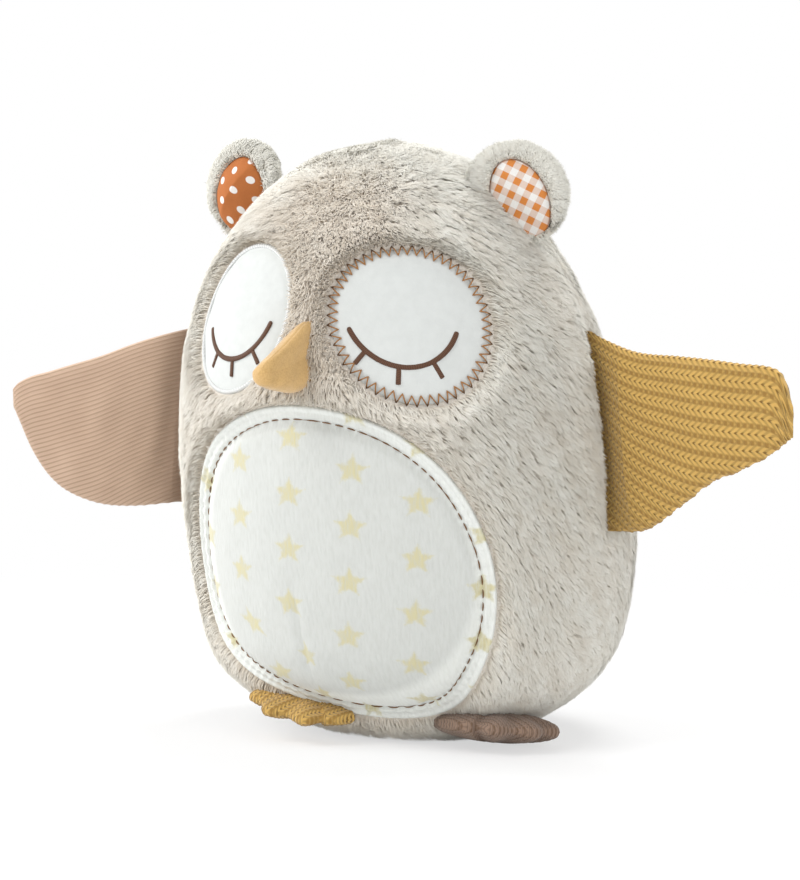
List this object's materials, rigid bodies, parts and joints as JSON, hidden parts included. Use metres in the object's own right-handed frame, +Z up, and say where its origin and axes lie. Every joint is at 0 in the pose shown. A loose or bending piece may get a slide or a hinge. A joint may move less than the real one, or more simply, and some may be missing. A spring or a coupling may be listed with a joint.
{
  "type": "plush owl",
  "caption": "Sitting stuffed fur owl with appliqued closed eyes, a star print belly patch, a soft beak, lined ears, padded knit wings and knit feet.",
  "frame": {"origin": "middle of the flat base that the owl sits on", "axes": "+Z up, the face looks along -Y, the owl's own left side is at +X"},
  "size_m": [0.3921, 0.2496, 0.276],
  "materials": {
    "fur": "long soft pile",
    "batting": "loose fibre",
    "calico": "plain weave",
    "minky": "short pile, star print",
    "brown_thread": "thread",
    "zigzag_thread": "thread",
    "satin": "satin thread",
    "felt": "smooth felt",
    "velour": "velour",
    "gingham": "woven check",
    "polka_dot": "printed dots",
    "mustard_knit": "chunky rib knit",
    "taupe_knit": "fine rib knit"
  },
  "bodies": {
    "body": {"front_panel": "fur", "back_panel_left": "fur", "back_panel_right": "fur", "base_panel": "fur", "body_stuffing": "batting", "pellet_bag": "calico", "belly_patch": "minky", "belly_topstitch": "brown_thread", "eye_patch_left": "felt", "eye_patch_right": "felt", "eye_zigzag_left": "zigzag_thread", "eye_satin_right": "satin", "eye_lid_left": "brown_thread", "eye_lid_right": "brown_thread", "beak": "velour"},
    "wing_left": {"wing_front_left": "mustard_knit", "wing_back_left": "mustard_knit", "wing_batting_left": "batting"},
    "wing_right": {"wing_front_right": "taupe_knit", "wing_back_right": "taupe_knit", "wing_batting_right": "batting"},
    "ear_left": {"ear_fur_left": "fur", "ear_lining_left": "gingham"},
    "ear_right": {"ear_fur_right": "fur", "ear_lining_right": "polka_dot"},
    "foot_left": {"foot_upper_left": "taupe_knit", "foot_sole_left": "taupe_knit"},
    "foot_right": {"foot_upper_right": "mustard_knit", "foot_sole_right": "mustard_knit"}
  },
  "joints": [
    {"name": "wing_left_fold", "type": "hinge", "parent": "body", "child": "wing_left", "pos_m": [0.1038, -0.01235, 0.14602], "axis": [-0.1222, -0.0676, 0.9902], "range_deg": [-50, 60], "stiffness_Nm_per_rad": 0.08},
    {"name": "wing_right_fold", "type": "hinge", "parent": "body", "child": "wing_right", "pos_m": [-0.10372, -0.01505, 0.14602], "axis": [0.1175, -0.0488, 0.9919], "range_deg": [-60, 42], "stiffness_Nm_per_rad": 0.08},
    {"name": "ear_left_flex", "type": "hinge", "parent": "body", "child": "ear_left", "pos_m": [0.06143, -0.03971, 0.24551], "axis": [0.6409, 0.2333, -0.7314], "range_deg": [-25, 25], "stiffness_Nm_per_rad": 0.1},
    {"name": "ear_right_flex", "type": "hinge", "parent": "body", "child": "ear_right", "pos_m": [-0.06143, -0.03971, 0.24551], "axis": [0.6409, -0.2333, 0.7314], "range_deg": [-25, 25], "stiffness_Nm_per_rad": 0.1},
    {"name": "foot_left_flex", "type": "hinge", "parent": "body", "child": "foot_left", "pos_m": [0.04299, -0.02209, 0.00355], "axis": [0.437, 0.8912, -0.1219], "range_deg": [0, 25], "stiffness_Nm_per_rad": 0.15},
    {"name": "foot_right_flex", "type": "hinge", "parent": "body", "child": "foot_right", "pos_m": [-0.01791, -0.05253, 0.01167], "axis": [0.9477, -0.2788, -0.1553], "range_deg": [0, 25], "stiffness_Nm_per_rad": 0.15}
  ]
}
